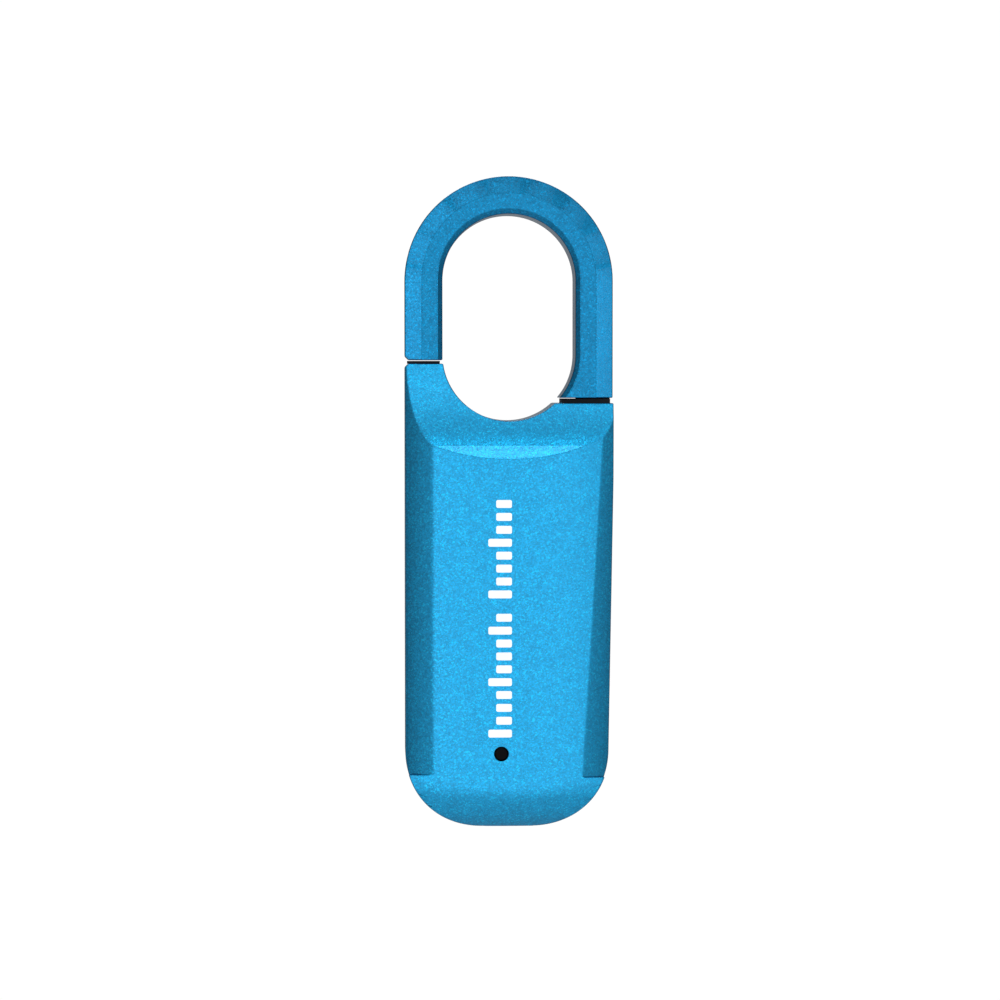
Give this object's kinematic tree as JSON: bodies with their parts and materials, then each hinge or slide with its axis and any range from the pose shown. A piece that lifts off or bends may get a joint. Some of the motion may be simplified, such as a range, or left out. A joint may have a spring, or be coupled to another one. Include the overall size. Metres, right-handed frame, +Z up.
{
  "type": "keyless padlock",
  "caption": "Slim keyless padlock with a flat swinging bow, a motor-driven dead bolt and a crowned front panel.",
  "frame": {"origin": "middle of the base, on the surface that the padlock stands on", "axes": "+Z up through the bow, -Y out of the front panel, +X towards the heel of the bow"},
  "size_m": [0.024, 0.012, 0.075],
  "materials": {
    "blue_paint": "fine metallic flake, satin gloss",
    "polished_steel": "polished",
    "turned_steel": "turned, fine lines",
    "spring_steel": "drawn wire",
    "screw_steel": "black oxide",
    "brass": "turned",
    "nickel": "nickel plate",
    "black_rubber": "matte",
    "foam": "foam",
    "nylon": "moulded, natural nylon",
    "black_plastic": "moulded",
    "dark_window": "gloss black",
    "smoked_lens": "smoked",
    "board_green": "solder mask",
    "chip_black": "epoxy",
    "led_white": "diffuse",
    "cell_foil": "foil pouch",
    "ribbon": "polyimide",
    "wire_red": "silicone",
    "wire_black": "silicone"
  },
  "bodies": {
    "body": {"housing": "blue_paint", "rear_cover": "blue_paint", "cover_gasket": "black_rubber", "cover_screws": "screw_steel", "sensor_ring": "polished_steel", "sensor_window": "dark_window", "sensor_module": "board_green", "sensor_flex": "ribbon", "toe_seal": "black_rubber", "heel_seal": "black_rubber", "spindle_retainer": "turned_steel", "bolt_seal": "black_rubber", "motor_can": "nickel", "motor_end_cap": "black_plastic", "screw_bush": "brass", "chassis": "black_plastic", "chassis_screws": "screw_steel", "guide_pin": "turned_steel", "plunger_bush": "brass", "plunger_spring": "spring_steel", "battery_cell": "cell_foil", "battery_pad": "foam", "circuit_board": "board_green", "board_components": "chip_black", "board_screws": "screw_steel", "charging_socket": "nickel", "socket_tongue": "black_plastic", "status_led": "led_white", "light_pipe": "smoked_lens", "motor_wires": "wire_red", "battery_wires": "wire_black"},
    "bow": {"shackle_bow": "blue_paint", "toe_bush": "turned_steel", "spindle_cross_pin": "turned_steel"},
    "spindle": {"heel_spindle": "turned_steel", "heel_washer": "black_rubber"},
    "bolt": {"dead_bolt": "polished_steel", "bolt_carrier": "nylon", "bolt_clip": "spring_steel", "drive_nut": "brass"},
    "screw": {"lead_screw": "turned_steel", "shaft_coupler": "brass", "motor_shaft": "turned_steel"},
    "plunger": {"heel_plunger": "turned_steel"},
    "plug": {"port_plug": "black_rubber"}
  },
  "joints": [
    {"name": "bow_lift", "type": "slide", "parent": "body", "child": "spindle", "axis": [0, 0, 1], "range_m": [0, 0.004]},
    {"name": "bow_swing", "type": "hinge", "parent": "spindle", "child": "bow", "pos_m": [0.00983, 0, 0.0495], "axis": [0, 0, 1], "range_deg": [-180, 180]},
    {"name": "bolt_throw", "type": "slide", "parent": "body", "child": "bolt", "axis": [0, 0, 1], "range_m": [0, 0.004]},
    {"name": "motor_spin", "type": "hinge", "parent": "body", "child": "screw", "pos_m": [-0.0054, 0.0005, 0.02], "axis": [0, 0, 1], "range_deg": [0, 2880]},
    {"name": "plunger_throw", "type": "slide", "parent": "body", "child": "plunger", "axis": [1, 0, 0], "range_m": [0, 0.0006], "deforming": ["plunger_spring"]},
    {"name": "plug_hinge", "type": "hinge", "parent": "body", "child": "plug", "pos_m": [-0.0057, -0.00092, 0.00062], "axis": [0, 1, 0], "range_deg": [0, 110]}
  ],
  "couplings": [
    {"joint": "motor_spin", "follows": "bolt_throw", "rad_per_m": 12566},
    {"joint": "plunger_throw", "follows": "bolt_throw", "ratio": 0.15}
  ]
}
